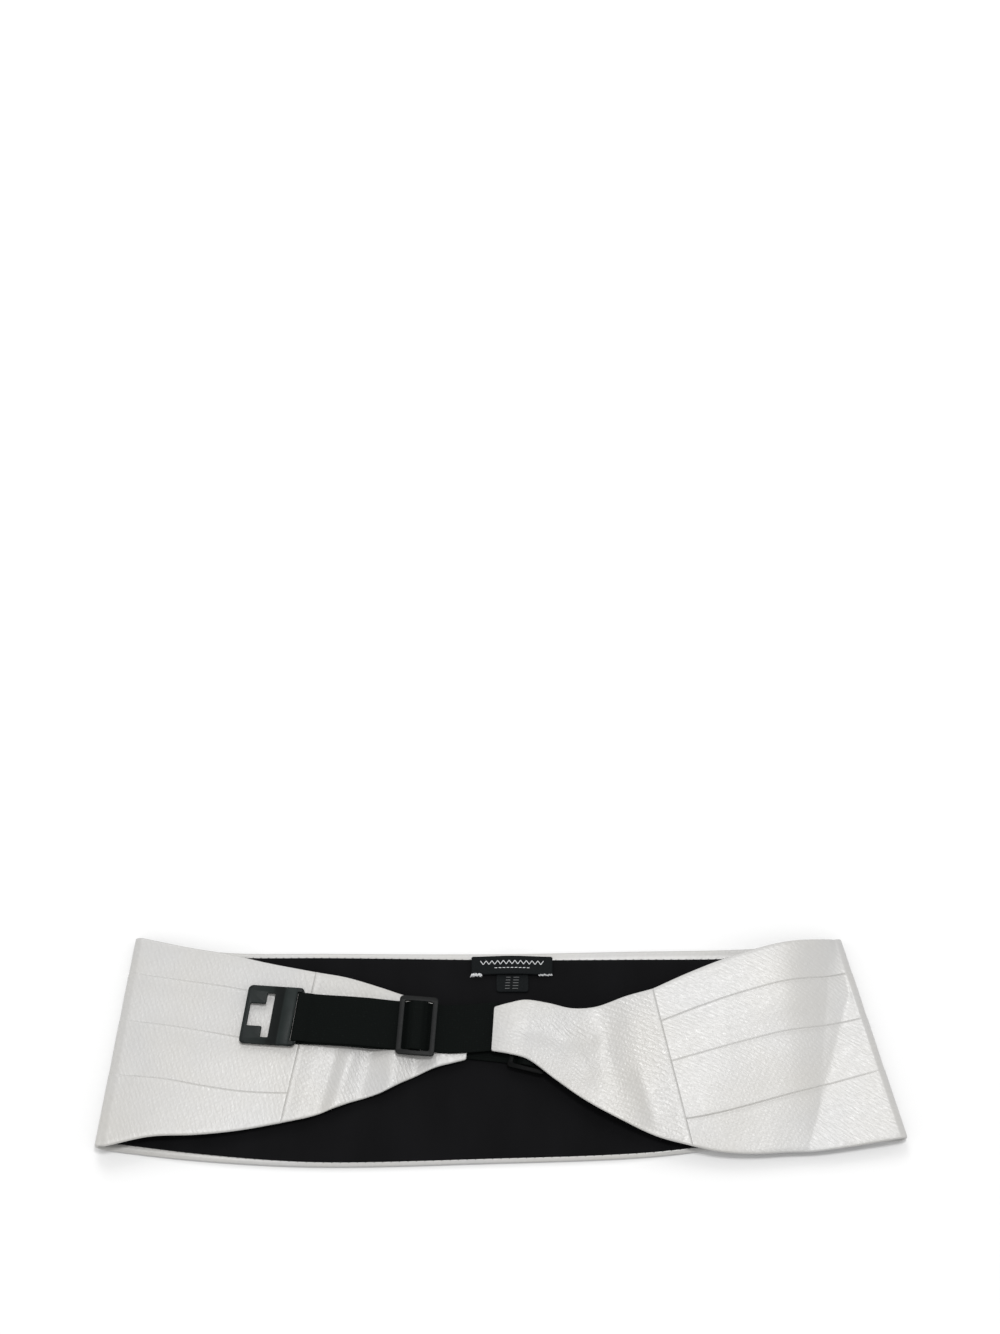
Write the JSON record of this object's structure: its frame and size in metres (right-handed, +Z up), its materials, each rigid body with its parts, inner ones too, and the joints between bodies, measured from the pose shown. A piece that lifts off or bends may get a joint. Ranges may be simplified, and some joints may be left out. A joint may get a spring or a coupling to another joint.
{
  "type": "cummerbund",
  "caption": "Pleated white cummerbund with black lining, folded back at both ends, with elastic straps, sliders and a slotted clasp.",
  "frame": {"origin": "middle of the footprint, on the surface that the folded cummerbund lies on", "axes": "+X to the right across both folded ends, +Y towards the band's top edge (the side with the labels), +Z up out of the surface"},
  "size_m": [0.4166, 0.122, 0.0181],
  "materials": {
    "white_cloth": "white cotton with a fine diagonal rib",
    "black_lining": "smooth black satin lining",
    "black_elastic": "ribbed black elastic",
    "label_cloth": "black woven ribbon",
    "clasp_plastic": "dark grey-green moulded plastic",
    "slider_plastic": "black moulded plastic"
  },
  "bodies": {
    "root": {"pleated_cloth": "white_cloth", "lining": "black_lining", "left_end_panel": "white_cloth", "right_end_panel": "white_cloth", "clasp_strap": "black_elastic", "clasp_slider": "slider_plastic", "clasp": "clasp_plastic", "hook_strap": "black_elastic", "hook_slider": "slider_plastic", "hook": "clasp_plastic", "label": "label_cloth", "care_label": "label_cloth"}
  },
  "joints": []
}
